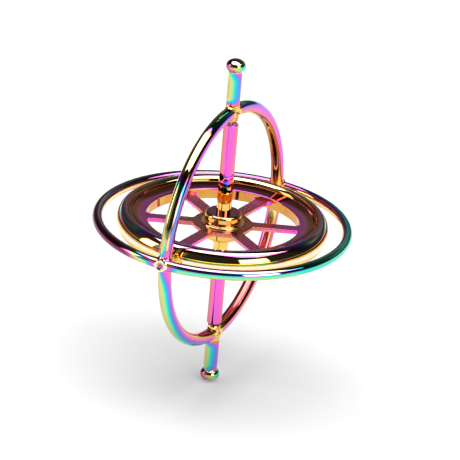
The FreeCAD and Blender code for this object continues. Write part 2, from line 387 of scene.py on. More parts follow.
def neck_cup():
    """The round-ended neck inside the ring, open where the pivot stands."""
    face = V_RING_R - V_ROD_R - CUP_LENGTH
    root = V_RING_R - CUP_ROOT
    bore_floor = face + CUP_BORE_DEPTH
    points = [(0, bore_floor + CUP_BORE_R), (CUP_BORE_R, bore_floor)]
    points += arc((CUP_BORE_R + CUP_EDGE, face + CUP_EDGE), CUP_EDGE, 180, 270, 3)
    points += arc((CUP_R - CUP_ROUNDING, face + CUP_ROUNDING), CUP_ROUNDING, 270, 360, 8)
    points += line((CUP_R, face + CUP_ROUNDING), (CUP_R, root), 22)[1:] + [(0, root)]
    return brazed(turned(points, 64), [from_v_rod], CUP_BRAZE_R)


# ---- pieces of the rotor ----
def drilled_axle():
    """The shaft with its string hole.

    A flat grid round one mouth of the hole is wrapped round half the shaft and copied to the other half.
    """
    across = 32
    tall = 16
    reach = 1.8
    half_width = AXLE_R * math.pi / 2
    edge = line((0, reach), (-half_width, reach), across // 2)[:-1]
    edge += line((-half_width, reach), (-half_width, -reach), tall)[:-1]
    edge += line((-half_width, -reach), (half_width, -reach), across)[:-1]
    edge += line((half_width, -reach), (half_width, reach), tall)[:-1]
    edge += line((half_width, reach), (0, reach), across // 2)[:-1]
    bm = bmesh.new()
    mouth = bmesh.ops.create_circle(bm, cap_ends=False, radius=STRING_HOLE_R, segments=len(edge))["verts"]
    outer = verts_of(bmesh.ops.extrude_edge_only(bm, edges=bm.edges[:])["geom"])
    radial = [e for e in bm.edges if (e.verts[0] in mouth) != (e.verts[1] in mouth)]
    for vert in mouth:
        vert.co = (AXLE_R * math.asin(vert.co.x / AXLE_R), vert.co.y, 0)
    for vert, (u, w) in zip(outer, edge):
        vert.co = (u, w, 0)
    bmesh.ops.subdivide_edges(bm, edges=radial, cuts=6)
    for v in bm.verts:
        angle = v.co.x / AXLE_R
        v.co = (AXLE_R * math.sin(angle), -AXLE_R * math.cos(angle), v.co.y)
    other_half = verts_of(bmesh.ops.duplicate(bm, geom=everything(bm))["geom"])
    bmesh.ops.rotate(bm, verts=other_half, cent=ORIGIN, matrix=Matrix.Rotation(math.pi, 3, "Z"))
    bmesh.ops.remove_doubles(bm, verts=bm.verts, dist=SAME_PLACE)
    mouths = [e for e in bm.edges if e.is_boundary and abs(e.verts[0].co.z) < reach - ON_PLANE]
    bmesh.ops.bridge_loops(bm, edges=mouths)
    bmesh.ops.bevel(bm, geom=mouths, offset=STRING_HOLE_EDGE, segments=3, affect="EDGES", profile=0.5,
                    material=-1)
    bmesh.ops.translate(bm, verts=bm.verts, vec=UP * STRING_HOLE_HEIGHT)
    turn_mesh(bm, STRING_HOLE_TURN, "Z")
    draw_out_shaft(bm, STRING_HOLE_HEIGHT + reach, AXLE_HALF)
    draw_out_shaft(bm, STRING_HOLE_HEIGHT - reach, -AXLE_HALF)
    return bm


def draw_out_shaft(bm, start, end):
    """Draws the shaft's open edge out from one height to its rounded end and closes it."""
    loop = [e for e in bm.edges if e.is_boundary and abs(e.verts[0].co.z - start) < ON_PLANE]
    side = math.copysign(1, end)
    rows = max(8, round(abs(end - start)))
    steps = line((AXLE_R, start), (AXLE_R, end - side * AXLE_ROUNDING), rows)
    corner = arc((AXLE_R - AXLE_ROUNDING, abs(end) - AXLE_ROUNDING), AXLE_ROUNDING, 0, 90, 5)
    for r, z in steps[1:] + [(r, side * z) for r, z in corner[1:]]:
        grown = bmesh.ops.extrude_edge_only(bm, edges=loop)["geom"]
        for v in verts_of(grown):
            shrink = r / math.hypot(v.co.x, v.co.y)
            v.co = (v.co.x * shrink, v.co.y * shrink, z)
        loop = [part for part in grown if isinstance(part, bmesh.types.BMEdge) and part.is_boundary]
    bmesh.ops.edgeloop_fill(bm, edges=loop)


def pivot(node):
    """A ground steel pivot: a short pin with a cone."""
    low, high = box_mm(node)
    is_upper = high.z > ROTOR_Z
    tip = high.z - ROTOR_Z if is_upper else ROTOR_Z - low.z
    root = AXLE_HALF - PIVOT_SEAT
    shoulder = tip - (PIVOT_R - PIVOT_TIP_R)
    points = [(0, root)] + line((PIVOT_R, root), (PIVOT_R, shoulder), 4)
    points += [(PIVOT_TIP_R, tip), (0, tip)]
    bm = turned(points, 40)
    return bm if is_upper else flipped(bm)


def tangent_centre(start, angle, end):
    """The centre of the arc that leaves its start square to the angle and runs to its end."""
    aside = (math.cos(math.radians(angle)), math.sin(math.radians(angle)))
    run, rise = end[0] - start[0], end[1] - start[1]
    radius = -(run ** 2 + rise ** 2) / (2 * (run * aside[0] + rise * aside[1]))
    return (start[0] - radius * aside[0], start[1] - radius * aside[1]), radius


def rim():
    """The heavy rim: a high round crest, a fuller outer flank and a narrow band round its middle."""
    wall_end = (RIM_R, RIM_WALL_HALF)
    upper = arc(CREST_CENTRE, CREST_ROUNDING, SEAM_ANGLE, 90 - FLANK_TILT, 48)
    flank_centre, flank_r = tangent_centre(upper[-1], 90 - FLANK_TILT, wall_end)
    upper += arc(flank_centre, flank_r, 90 - FLANK_TILT, angle_at(flank_centre, wall_end), 26)[1:]
    upper += line(wall_end, (RIM_R, 0), 3)[1:]
    return turned(upper + mirrored(upper)[1:], 400, closed=True)


def dish():
    """The broad ring inside the rim, a little hollow, with a rounded lip round the opening."""
    lip_centre = (OPENING_R + LIP_ROUNDING, LIP_TOP - LIP_ROUNDING)
    rows = 24
    upper = line(SEAM, (lip_centre[0], LIP_TOP), rows)
    for index, (r, z) in enumerate(upper):
        share = index / rows
        upper[index] = (r, z - 4 * DISH_SINK * share * (1 - share))
    upper += arc(lip_centre, LIP_ROUNDING, 90, 180, 7)[1:]
    upper += line((OPENING_R, lip_centre[1]), (OPENING_R, 0), 8)[1:]
    return turned(upper + mirrored(upper)[1:], 400, closed=True)


def spoke_outline():
    """Half the outline of one sixth of the web, on one side of the spoke that points along +X."""
    inner_r = WINDOW_INNER_R + WINDOW_CORNER_R
    outer_r = OPENING_R - WINDOW_CORNER_R
    side = SPOKE_HALF + WINDOW_CORNER_R
    inner = (math.sqrt(inner_r ** 2 - side ** 2), side)
    outer = (math.sqrt(outer_r ** 2 - side ** 2), side)
    inner_turn = angle_at((0, 0), inner)
    outer_turn = angle_at((0, 0), outer)
    half_sector = 180 / SPOKE_COUNT
    points = arc((0, 0), HUB_R, 0, half_sector, 12)
    points += arc((0, 0), WINDOW_INNER_R, half_sector, inner_turn, 10)
    points += arc(inner, WINDOW_CORNER_R, inner_turn + 180, 270, 10)[1:]
    points += line((inner[0], SPOKE_HALF), (outer[0], SPOKE_HALF), 12)[1:-1]
    points += arc(outer, WINDOW_CORNER_R, -90, outer_turn, 12)
    points += arc((0, 0), OPENING_R + SPOKE_OVERLAP, outer_turn, 0, 6)
    return points


def on_window_edge(edge):
    """Whether an edge is a corner between a flat face of the web and a window's wall."""
    if len(edge.link_faces) != 2 or edge.calc_face_angle() < SHARP_EDGE:
        return False
    middle = (edge.verts[0].co + edge.verts[1].co) / 2
    past_hub = (HUB_R + WINDOW_INNER_R) / 2
    return abs(abs(middle.z) - WEB_HALF) < ON_PLANE and past_hub < middle.xy.length < OPENING_R


def web():
    """The thin web: a plate round the hub and straight spokes out to the dish."""
    outline = spoke_outline()
    bm = bmesh.new()
    bm.faces.new([bm.verts.new((x, y, -WEB_HALF)) for x, y in outline])
    bm.faces.new([bm.verts.new((x, -y, -WEB_HALF)) for x, y in outline][::-1])
    sector = everything(bm)
    for index in range(1, SPOKE_COUNT):
        copy = verts_of(bmesh.ops.duplicate(bm, geom=sector)["geom"])
        turn = Matrix.Rotation(index * FULL_TURN / SPOKE_COUNT, 3, "Z")
        bmesh.ops.rotate(bm, verts=copy, cent=ORIGIN, matrix=turn)
    bmesh.ops.remove_doubles(bm, verts=bm.verts, dist=SAME_PLACE)
    top = verts_of(bmesh.ops.extrude_face_region(bm, geom=bm.faces[:])["geom"])
    bmesh.ops.translate(bm, verts=top, vec=UP * 2 * WEB_HALF)
    bmesh.ops.recalc_face_normals(bm, faces=bm.faces)
    corners = [e for e in bm.edges if on_window_edge(e)]
    bmesh.ops.bevel(bm, geom=corners, offset=WEB_EDGE, segments=3, affect="EDGES", profile=0.5, material=-1)
    return turn_mesh(bm, SPOKE_TURN, "Z")


def hub_collar():
    """The collar pressed on the axle, with a low flange on the web."""
    bore = AXLE_R - HUB_OVERLAP
    foot = WEB_HALF - FLANGE_OVERLAP
    points = [(bore, HUB_TOP)]
    points += line((AXLE_R, HUB_TOP), (HUB_R - HUB_ROUNDING, HUB_TOP), 6)
    points += arc((HUB_R - HUB_ROUNDING, HUB_TOP - HUB_ROUNDING), HUB_ROUNDING, 90, 0, 10)[1:]
    points += line((HUB_R, HUB_TOP - HUB_ROUNDING), (HUB_R, FLANGE_TOP + HUB_FILLET), 6)[1:]
    points += arc((HUB_R + HUB_FILLET, FLANGE_TOP + HUB_FILLET), HUB_FILLET, 180, 270, 6)[1:]
    points += arc((FLANGE_R - FLANGE_ROUNDING, FLANGE_TOP - FLANGE_ROUNDING), FLANGE_ROUNDING, 90, 0, 6)
    points += [(FLANGE_R, foot), (bore, foot)]
    return turned(points, 160, closed=True)


# ---- thickness of the rainbow film, from 0 (bare) to 1 (maroon) ----
# The coating came from one side of the gyroscope: the direction of that side, and of its right hand.
SOURCE_SIDE = Vector((0.43, -0.9, 0))
SOURCE_RIGHT = Vector((0.9, 0.43, 0))
# The way the balls' painted highlight faces: halfway between the camera's direction and straight up.
BALL_HIGHLIGHT_SIDE = Vector((0.237, -0.496, 0.835))
# Pale film; on the balls and on the upright ring's front arm it makes painted highlights.
PALE_FILM = 0.03
THIN_FILM = 0.09
# Dark film: painted shade inside the string hole and the rivet's dimple.
SHADE_FILM = 0.97
# In millimetres from a joint: where the film starts to thicken, and where it is full.
CORNER_GAP = 0.2
NEAR_REACH = 3.2
JOINT_REACH = 8.5
POST_REACH = 2.4
POST_RING_REACH = 2.2

# Rows of (place, film). On the front arm of the upright ring the place is how far the surface faces +X.
# On the front arm the rows near 0.04 are pale where the overhead light is mirrored: painted highlight.
ARM_FILM = (
    (-1, 0.16), (-0.6, 0.13), (-0.45, 0.09), (-0.2, 0.05), (0.5, 0.04), (0.65, 0.09), (0.8, 0.2),
    (0.94, 0.34),
)
# Elsewhere it is the surface's lean in degrees: 0 faces straight outwards, 90 up, more than 90 inwards.
# In front of the level ring the rows of 0.03 are pale bands where lamps are mirrored: painted highlight.
RING_FILM_FRONT = (
    (-120, 0.8), (-60, 0.74), (-15, 0.68), (0, 0.62), (12, 0.56), (15, 0.03), (26, 0.03), (30, 0.55),
    (42, 0.5), (46, 0.42), (49, 0.03), (60, 0.03), (64, 0.36), (75, 0.92), (110, 0.9), (180, 0.6),
)
# Rim rows near 0.03 are pale painted highlight; rows near 0.95 are maroon, partly painted shade.
RIM_FILM_FRONT = (
    (8, 0.03), (12, 0.06), (15, 0.1), (18, 0.1), (24, 0.05), (35, 0.06), (41, 0.26), (44, 0.34),
    (46, 0.03), (61, 0.02), (64, 0.34), (78, 0.42), (120, 0.48), (166, 0.5),
)
RIM_FILM_SIDE = (
    (8, 0.02), (14, 0.08), (30, 0.16), (42, 0.78), (60, 0.96), (80, 0.34), (95, 0.14), (130, 0.12),
    (166, 0.3),
)
RIM_FILM_BACK = (
    (8, 0.03), (20, 0.12), (60, 0.95), (80, 0.3), (95, 0.05), (138, 0.04), (150, 0.14), (166, 0.16),
)


def eased(value, start, end):
    """0 before start, 1 after end, smooth between."""
    t = min(1, max(0, (value - start) / (end - start)))
    return t * t * (3 - 2 * t)


def span(value, start, full, fading, end):
    """0 outside start and end, 1 between full and fading, smooth between."""
    return eased(value, start, full) * eased(-value, -end, -fading)


def mixed(a, b, share):
    return a + (b - a) * share


def read_off(value, stops):
    """A value read off a row of (place, level) stops."""
    for (place, level), (next_place, next_level) in zip(stops, stops[1:]):
        if value <= next_place:
            return mixed(level, next_level, min(1, max(0, (value - place) / (next_place - place))))
    return stops[-1][1]


def thinned(film, gap, reach):
    """The film gets thin where pieces meet, because little of it settles in the corner."""
    return mixed(THIN_FILM, film, eased(gap, CORNER_GAP, reach) ** 0.6)


def along_ring(radius, share):
    """The way along a ring from a joint to a point that lies this share of the radius beside it."""
    return radius * math.asin(min(1, abs(share)))


def facing_film(film, outward):
    """More settles on the outer side of a ring than on its inner side."""
    return film + (0.12 if outward > 0 else 0.56) * outward


def level_around(p):
    """The level direction from the spin axis towards a point."""
    return Vector((p.x, p.y, 0)).normalized()


def film_on_level_ring(p, n):
    """Cyan on top, green outside and gold inside; maroon at the left, and a table of its own in front."""
    around = level_around(p)
    outward = n.dot(around)
    left = max(0, -around.x)
    right = max(0, around.x)
    film = facing_film(0.6, outward) - 0.07 * n.z
    film += (0.35 * eased(left, 0, 0.5) + 0.1 * left) * min(1, 1 + outward)
    film += right * (0.1 * n.z - 0.12 * max(0, outward))
    lean = math.degrees(math.atan2(n.z, outward))
    # The front table's pale rows are painted highlight.
    film = mixed(film, read_off(lean, RING_FILM_FRONT), eased(around.dot(SOURCE_SIDE), 0.72, 0.88))
    near = thinned(film, along_ring(H_RING_R, around.x) - V_ROD_R, NEAR_REACH)
    return mixed(film, near, 0.7)


def film_on_upright_ring(p, n):
    """Climb is in degrees round the ring: 0 at the front joint, 90 at the top, 180 at the back joint."""
    around = Vector((0, p.y, p.z)).normalized()
    outward = n.dot(around)
    climb = math.degrees(math.atan2(p.z, -p.y))
    film = facing_film(0.62, outward) - 0.19 * n.x - 0.1 * eased(n.x, 0.5, 1)
    film += 0.12 * eased(-outward, 0.3, 0.9) * eased(-p.z, 3, 12)
    # Pale across the middle of the upper front arm: painted highlight where the overhead light is mirrored.
    film = mixed(film, read_off(n.x, ARM_FILM), span(climb, 34, 43, 64, 72))
    # Lower on the front arm, a pale band is a painted highlight where the right window is mirrored.
    painted_highlight = span(n.x, 0.2, 0.35, 0.6, 0.7) * eased(outward, 0.3, 0.6)
    film = mixed(film, PALE_FILM, painted_highlight * span(climb, 3, 8, 25, 38))
    # Brown coating on the upper back arm, made deep partly as painted shade on the table it mirrors.
    brown = 0.14 + 0.13 * eased(n.x, 0.7, 1) + 0.35 * max(0, outward) + 0.08 * eased(-n.x, 0.5, 1)
    film = mixed(film, brown, span(climb, 100, 115, 165, 178))
    pink = 0.2 + 0.12 * max(0, outward)
    film = mixed(film, pink, span(-climb, 98, 112, 145, 160))
    reach = mixed(NEAR_REACH, JOINT_REACH, eased(n.x, -0.7, 0.7))
    film = mixed(film, thinned(film, along_ring(V_RING_R, around.z), reach), 0.85)
    return thinned(film, along_ring(V_RING_R, around.y) - POST_R, POST_RING_REACH)


def film_on_post(p, n):
    """Tan at the left, teal in front and violet at the right; thinner beside the ball, gold at the ring."""
    film = (0.62 if p.z > 0 else 0.58) - 0.25 * n.dot(SOURCE_RIGHT)
    height = abs(p.z) - V_RING_R - V_ROD_R
    film -= 0.15 * eased(height, 6.6, 8.8)
    return thinned(film, height, POST_REACH)


def film_on_ball(p, n):
    """Maroon at the left, above and below, cyan at the right, and a pale painted highlight above."""
    film = 0.74 - 0.22 * n.dot(SOURCE_RIGHT) + 0.18 * abs(n.z)
    return mixed(film, PALE_FILM, eased(n.dot(BALL_HIGHLIGHT_SIDE), 0.93, 0.96))


def film_on_rivet(p, n):
    """Dark in the dimple as painted shade, and pale round it."""
    return mixed(SHADE_FILM, PALE_FILM, eased(math.hypot(p.x, p.z), 0.75, 0.95))


def film_on_neck(p, n):
    """Pale at the left, gold at the right."""
    return 0.07 + 0.06 * n.dot(SOURCE_RIGHT)


def film_on_shaft(p, n):
    """Gold near the hubs, pink beyond, violet on its ends and painted shade inside the string hole."""
    if abs(p.z) > AXLE_HALF - 0.01:
        return 0.4
    if n.dot(level_around(p)) < 0.8 and abs(p.z) < AXLE_HALF - 1:
        return SHADE_FILM
    film = 0.29 - 0.14 * (n.dot(SOURCE_RIGHT) - 0.06) ** 2
    return mixed(THIN_FILM, film, eased(abs(p.z), 10.2, 12))


# The rim's pale rows are painted highlight and its maroon rows are partly painted shade.
def film_on_rim(p, n):
    around = level_around(p)
    lean = math.degrees(math.atan2(abs(n.z), n.dot(around)))
    facing = around.dot(SOURCE_SIDE)
    film = mixed(read_off(lean, RIM_FILM_SIDE), read_off(lean, RIM_FILM_FRONT), eased(facing, 0.45, 0.8))
    return mixed(film, read_off(lean, RIM_FILM_BACK), eased(-facing, 0.3, 0.75))


def film_on_dish(p, n):
    """Gold inside and blue outside in front, pink inside and copper outside behind; tan on the wall."""
    if abs(n.z) < 0.7:
        return 0.12
    share = (p.xy.length - OPENING_R) / DISH_WIDTH
    back = mixed(0.29, 0.14, eased(share, 0.1, 0.8))
    front = mixed(0.1, 0.48, eased(share, 0.2, 0.7))
    return mixed(back, front, eased(level_around(p).dot(SOURCE_SIDE), 0.1, 0.75))


def film_on_web(p, n):
    """Copper at the hub, pink towards the dish."""
    return mixed(0.17, 0.27, eased(p.xy.length, 6, 19))


def film_on_hub(p, n):
    """Pale gold on the flange, gold on the side and dark maroon on the flat top, partly painted shade."""
    if p.xy.length > HUB_R + 0.1:
        return 0.05
    return mixed(0.1, 0.95, eased(n.z, 0.8, 1))


def no_film(p, n):
    return 0


# ---- finishes ----
def plain(red, green, blue):
    """A colour as a painter names it, 0 to 255, made ready for a shader."""
    shares = [level / 255 for level in (red, green, blue)]
    return [((s + 0.055) / 1.055) ** 2.4 if s > 0.04 else s / 12.92 for s in shares] + [1]


FILM_COLOURS = (
    (0.00, plain(240, 232, 222)),
    (0.05, plain(250, 228, 164)),
    (0.09, plain(244, 202, 104)),
    (0.12, plain(212, 150, 72)),
    (0.15, plain(184, 114, 66)),
    (0.20, plain(232, 130, 134)),
    (0.26, plain(242, 104, 206)),
    (0.34, plain(200, 104, 214)),
    (0.41, plain(150, 126, 226)),
    (0.47, plain(84, 152, 234)),
    (0.53, plain(40, 196, 228)),
    (0.59, plain(50, 214, 204)),
    (0.66, plain(138, 228, 162)),
    (0.74, plain(206, 218, 124)),
    (0.82, plain(208, 184, 114)),
    (0.90, plain(214, 124, 150)),
    (1.00, plain(126, 50, 94)),
)


class Wiring:
    """Adds nodes to one node tree and joins them; a plain number or colour goes on the socket itself."""

    def __init__(self, tree):
        self.tree = tree

    def put(self, kind, **settings):
        node = self.tree.nodes.new(kind)
        for setting, value in settings.items():
            setattr(node, setting, value)
        return node

    def join(self, source, socket):
        if isinstance(source, bpy.types.NodeSocket):
            self.tree.links.new(source, socket)
        else:
            socket.default_value = source

    def math(self, operation, *sources):
        node = self.put("ShaderNodeMath", operation=operation)
        for source, socket in zip(sources, node.inputs):
            self.join(source, socket)
        return node.outputs[0]

    def ramp(self, source, stops):
        node = self.put("ShaderNodeValToRGB")
        elements = node.color_ramp.elements
        while len(elements) < len(stops):
            elements.new(0.5)
        for element, (place, colour) in zip(elements, stops):
            element.position = place
            element.color = colour
        self.join(source, node.inputs[0])
        return node.outputs[0]

    def eased_between(self, source, start, end, low=0, high=1):
        node = self.put("ShaderNodeMapRange", interpolation_type="SMOOTHSTEP")
        for value, socket in zip((source, start, end, low, high), node.inputs):
            self.join(value, socket)
        return node.outputs[0]

    def noise(self, place, scale, detail=2, roughness=0.5):
        node = self.put("ShaderNodeTexNoise")
        self.join(place, node.inputs["Vector"])
        for name, value in (("Scale", scale), ("Detail", detail), ("Roughness", roughness)):
            node.inputs[name].default_value = value
        return node.outputs["Fac"]

    def stretched(self, place, scale):
        node = self.put("ShaderNodeMapping")
        self.join(place, node.inputs["Vector"])
        node.inputs["Scale"].default_value = scale
        return node.outputs[0]


def new_finish(name):
    material = bpy.data.materials.new(name)
    material.use_nodes = True
    wiring = Wiring(material.node_tree)
    place = wiring.put("ShaderNodeTexCoord").outputs["Object"]
    return material, wiring, place, material.node_tree.nodes["Principled BSDF"]


def lathe_place(wiring, place):
    """Distance from the spin axis and height, for marks that run round a turned piece."""
    split = wiring.put("ShaderNodeSeparateXYZ")
    wiring.join(place, split.inputs[0])
    flat = wiring.put("ShaderNodeCombineXYZ")
    wiring.join(split.outputs["X"], flat.inputs["X"])
    wiring.join(split.outputs["Y"], flat.inputs["Y"])
    length = wiring.put("ShaderNodeVectorMath", operation="LENGTH")
    wiring.join(flat.outputs[0], length.inputs[0])
    both = wiring.put("ShaderNodeCombineXYZ")
    wiring.join(length.outputs["Value"], both.inputs["X"])
    wiring.join(split.outputs["Z"], both.inputs["Z"])
    return both.outputs[0]


# Marks of each kind of work and patches of haze, counted over a metre.
TURNING_MARKS = 9000
POLISHING_MARKS = 5200
GRINDING_MARKS = 14000
MILLING_MARKS = 9000
HAZE_PATCHES = 420
MARK_DEPTH = 0.01 * MM
# Roughness where the metal is clear and where it is hazy.
MIRROR_GLOSS = (0.018, 0.055)
SATIN_GLOSS = (0.24, 0.34)


def marked(wiring, shader, marks, strength):
    """Marks cut very lightly into the surface."""
    bump = wiring.put("ShaderNodeBump")
    bump.inputs["Strength"].default_value = strength
    bump.inputs["Distance"].default_value = MARK_DEPTH
    wiring.join(marks, bump.inputs["Height"])
    wiring.join(bump.outputs[0], shader.inputs["Normal"])


def rainbow_finish(name, patch, patch_depth, turned_marks, gloss=MIRROR_GLOSS):
    """Metal under the film: cloudy patches in the film, faint polishing marks and a slight haze."""
    material, wiring, place, shader = new_finish(name)
    film = wiring.put("ShaderNodeAttribute", attribute_name="film").outputs["Fac"]
    clouds = wiring.math("SUBTRACT", wiring.noise(place, patch, 3), 0.5)
    grain = wiring.math("SUBTRACT", wiring.noise(place, patch * 9, 2), 0.5)
    uneven = wiring.math("MULTIPLY_ADD", clouds, patch_depth, film)
    uneven = wiring.math("MULTIPLY_ADD", grain, patch_depth * 0.25, uneven)
    wiring.join(wiring.ramp(uneven, FILM_COLOURS), shader.inputs["Base Color"])
    if turned_marks:
        marks = wiring.noise(lathe_place(wiring, place), TURNING_MARKS, 3, 0.6)
    else:
        marks = wiring.noise(place, POLISHING_MARKS, 3, 0.6)
    marked(wiring, shader, marks, 0.03)
    haze = wiring.noise(place, HAZE_PATCHES, 4, 0.6)
    wiring.join(wiring.eased_between(haze, 0.42, 0.8, *gloss), shader.inputs["Roughness"])
    shader.inputs["Metallic"].default_value = 1
    return material


def ground_steel():
    """Bare hardened steel with grinding rings."""
    material, wiring, place, shader = new_finish("ground_steel")
    along = wiring.stretched(lathe_place(wiring, place), (0.2, 0.2, 1))
    rings = wiring.noise(along, GRINDING_MARKS, 3, 0.7)
    tone = wiring.ramp(rings, ((0.3, plain(176, 178, 182)), (0.7, plain(214, 215, 217))))
    wiring.join(tone, shader.inputs["Base Color"])
    wiring.join(wiring.eased_between(rings, 0.3, 0.7, 0.16, 0.3), shader.inputs["Roughness"])
    marked(wiring, shader, rings, 0.2)
    shader.inputs["Metallic"].default_value = 1
    return material


def slot_shade_metal():
    """Dark metal with milling marks inside the slot; its darkness is painted shade."""
    material, wiring, place, shader = new_finish("slot_shade")
    scratches = wiring.noise(wiring.stretched(place, (1, 0.1, 1)), MILLING_MARKS, 3, 0.6)
    tone = wiring.ramp(scratches, ((0.3, plain(44, 36, 42)), (0.7, plain(86, 72, 80))))
    wiring.join(tone, shader.inputs["Base Color"])
    shader.inputs["Roughness"].default_value = 0.5
    shader.inputs["Metallic"].default_value = 1
    return material


FINISHES = {
    "rainbow_ring": rainbow_finish("rainbow_ring", 60, 0.1, turned_marks=False),
    "rainbow_post": rainbow_finish("rainbow_post", 120, 0.06, turned_marks=True),
    "rainbow_axle": rainbow_finish("rainbow_axle", 110, 0.06, turned_marks=True),
    "rainbow_flywheel": rainbow_finish("rainbow_flywheel", 70, 0.07, turned_marks=True),
    "bare_pivot": ground_steel(),
}
# The spokes are cast and shine less than the rest of the flywheel; the foot's slot is painted shade.
OWN_FINISH = {"spokes": rainbow_finish("rainbow_cast", 160, 0.09, turned_marks=False, gloss=SATIN_GLOSS)}
SECOND_FINISH = {"standing_ball": slot_shade_metal()}


def finished(name, bm, body, slot, lift, film_on, node):
    """Makes the piece: its place is in its mesh, and it stands for one of the frame's nodes."""
    bmesh.ops.recalc_face_normals(bm, faces=bm.faces)
    bm.normal_update()
    film = bm.verts.layers.float.new("film")
    for v in bm.verts:
        v[film] = min(1, max(0, film_on(v.co, v.normal)))
    bmesh.ops.translate(bm, verts=bm.verts, vec=UP * lift)
    bmesh.ops.scale(bm, vec=(MM, MM, MM), verts=bm.verts)
    for edge in bm.edges:
        edge.smooth = len(edge.link_faces) == 2 and edge.calc_face_angle() < SHARP_EDGE
    for face in bm.faces:
        face.smooth = len(face.verts) < FLAT_END_CORNERS
    mesh = bpy.data.meshes.new(name)
    bm.to_mesh(mesh)
    bm.free()
    mesh.materials.append(OWN_FINISH.get(name, FINISHES[slot]))
    if name in SECOND_FINISH:
        mesh.materials.append(SECOND_FINISH[name])
    piece = bpy.data.objects.new(name, mesh)
    bpy.context.scene.collection.objects.link(piece)
    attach(piece, body)
    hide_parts(node)


def back_rivet():
    return turn_mesh(rivet(), math.pi, "Z")


# Each piece with the function that makes it, its film, its material slot and the node that it stands for.
FRAME_PIECES = {
    "level_ring": (level_ring, film_on_level_ring, "rainbow_ring", "horizontal_ring"),
    "upright_ring": (upright_ring, film_on_upright_ring, "rainbow_ring", "vertical_ring"),
    "front_rivet": (rivet, film_on_rivet, "rainbow_ring", "front_ring_rivet"),
    "back_rivet": (back_rivet, film_on_rivet, "rainbow_ring", "back_ring_rivet"),
    "top_post": (lambda: post(UPPER_REACH), film_on_post, "rainbow_post", "upper_post"),
    "bottom_post": (lambda: flipped(post(LOWER_REACH)), film_on_post, "rainbow_post", "lower_post"),
    "crown_ball": (lambda: ball(UPPER_REACH), film_on_ball, "rainbow_post", "top_ball"),
    "standing_ball": (slotted_foot, film_on_ball, "rainbow_post", "foot_ball"),
    "top_neck": (neck_cup, film_on_neck, "rainbow_post", "upper_pivot_cup"),
    "bottom_neck": (lambda: flipped(neck_cup()), film_on_neck, "rainbow_post", "lower_pivot_cup"),
}
ROTOR_PIECES = {
    "shaft": (drilled_axle, film_on_shaft, "rainbow_axle", "axle"),
    "rim": (rim, film_on_rim, "rainbow_flywheel", "flywheel_rim"),
    "dish": (dish, film_on_dish, "rainbow_flywheel", "flywheel_web"),
    "spokes": (web, film_on_web, "rainbow_flywheel", "flywheel_web"),
    "top_hub": (hub_collar, film_on_hub, "rainbow_flywheel", "upper_hub_collar"),
    "bottom_hub": (lambda: flipped(hub_collar()), film_on_hub, "rainbow_flywheel", "lower_hub_collar"),
    "top_pivot": (lambda: pivot("upper_pivot_pin"), no_film, "bare_pivot", "upper_pivot_pin"),
    "bottom_pivot": (lambda: pivot("lower_pivot_pin"), no_film, "bare_pivot", "lower_pivot_pin"),
}

for name, (make, film_on, slot, node) in FRAME_PIECES.items():
    finished(name, make(), "frame", slot, CENTRE_Z, film_on, node)
for name, (make, film_on, slot, node) in ROTOR_PIECES.items():
    finished(name, make(), "rotor", slot, ROTOR_Z, film_on, node)


# ---- camera ----
CAMERA_LENS = 250.18
CAMERA_AWAY = 796.1
CAMERA_ELEVATION = math.radians(23.27)
CAMERA_AZIMUTH = math.radians(25.51)
CAMERA_ROLL = math.radians(4.96)
CAMERA_ASIDE = 1.99
CAMERA_ABOVE = -1.48


def add_camera():
    """A long lens, turned about the rings' centre, rolled a little and moved a little to the side."""
    tilt = Matrix.Rotation(math.pi / 2 - CAMERA_ELEVATION, 4, "X")
    swing = Matrix.Rotation(CAMERA_AZIMUTH, 4, "Z") @ tilt
    place = swing @ Vector((CAMERA_ASIDE, CAMERA_ABOVE, CAMERA_AWAY)) + UP * CENTRE_Z
    data = bpy.data.cameras.new("camera")
    data.lens = CAMERA_LENS
    data.sensor_width = 36
    data.clip_start = 0.01
    data.clip_end = 20
    camera = bpy.data.objects.new("camera", data)
    camera.matrix_world = Matrix.Translation(place * MM) @ swing @ Matrix.Rotation(CAMERA_ROLL, 4, "Z")
    bpy.context.scene.collection.objects.link(camera)
    bpy.context.scene.camera = camera


# ---- table ----
# In metres: half the table's side, and where it starts and stops getting darker, as painted shade.
TABLE_HALF = 3
TABLE_FADE = (0.3, 2.6)
TABLE_WHITE = 0.72
TABLE_FAR = 0.44
TABLE_GLOW = 0.26


def add_floor():
    bm = bmesh.new()
    bmesh.ops.create_grid(bm, x_segments=1, y_segments=1, size=TABLE_HALF)
    mesh = bpy.data.meshes.new("table_top")
    bm.to_mesh(mesh)
    bm.free()
    floor = bpy.data.objects.new("table_top", mesh)
    bpy.context.scene.collection.objects.link(floor)
    mesh.materials.append(white_table())


def white_table():
    """A white sweep, darker far away as painted shade; it glows faintly wherever it is seen or mirrored."""
    material, wiring, place, shader = new_finish("white_table")
    away = wiring.put("ShaderNodeVectorMath", operation="LENGTH")
    wiring.join(place, away.inputs[0])
    level = wiring.eased_between(away.outputs["Value"], *TABLE_FADE, TABLE_WHITE, TABLE_FAR)
    wiring.join(level, shader.inputs["Base Color"])
    rays = wiring.put("ShaderNodeLightPath").outputs
    seen = wiring.math("ADD", rays["Is Camera Ray"], rays["Is Glossy Ray"])
    seen = wiring.math("ADD", seen, rays["Is Transmission Ray"])
    seen = wiring.math("MINIMUM", seen, 1)
    wiring.join(wiring.math("MULTIPLY", seen, TABLE_GLOW), shader.inputs["Emission Strength"])
    shader.inputs["Emission Color"].default_value = (1, 1, 1, 1)
    shader.inputs["Roughness"].default_value = 0.9
    shader.inputs["Specular IOR Level"].default_value = 0
    return material


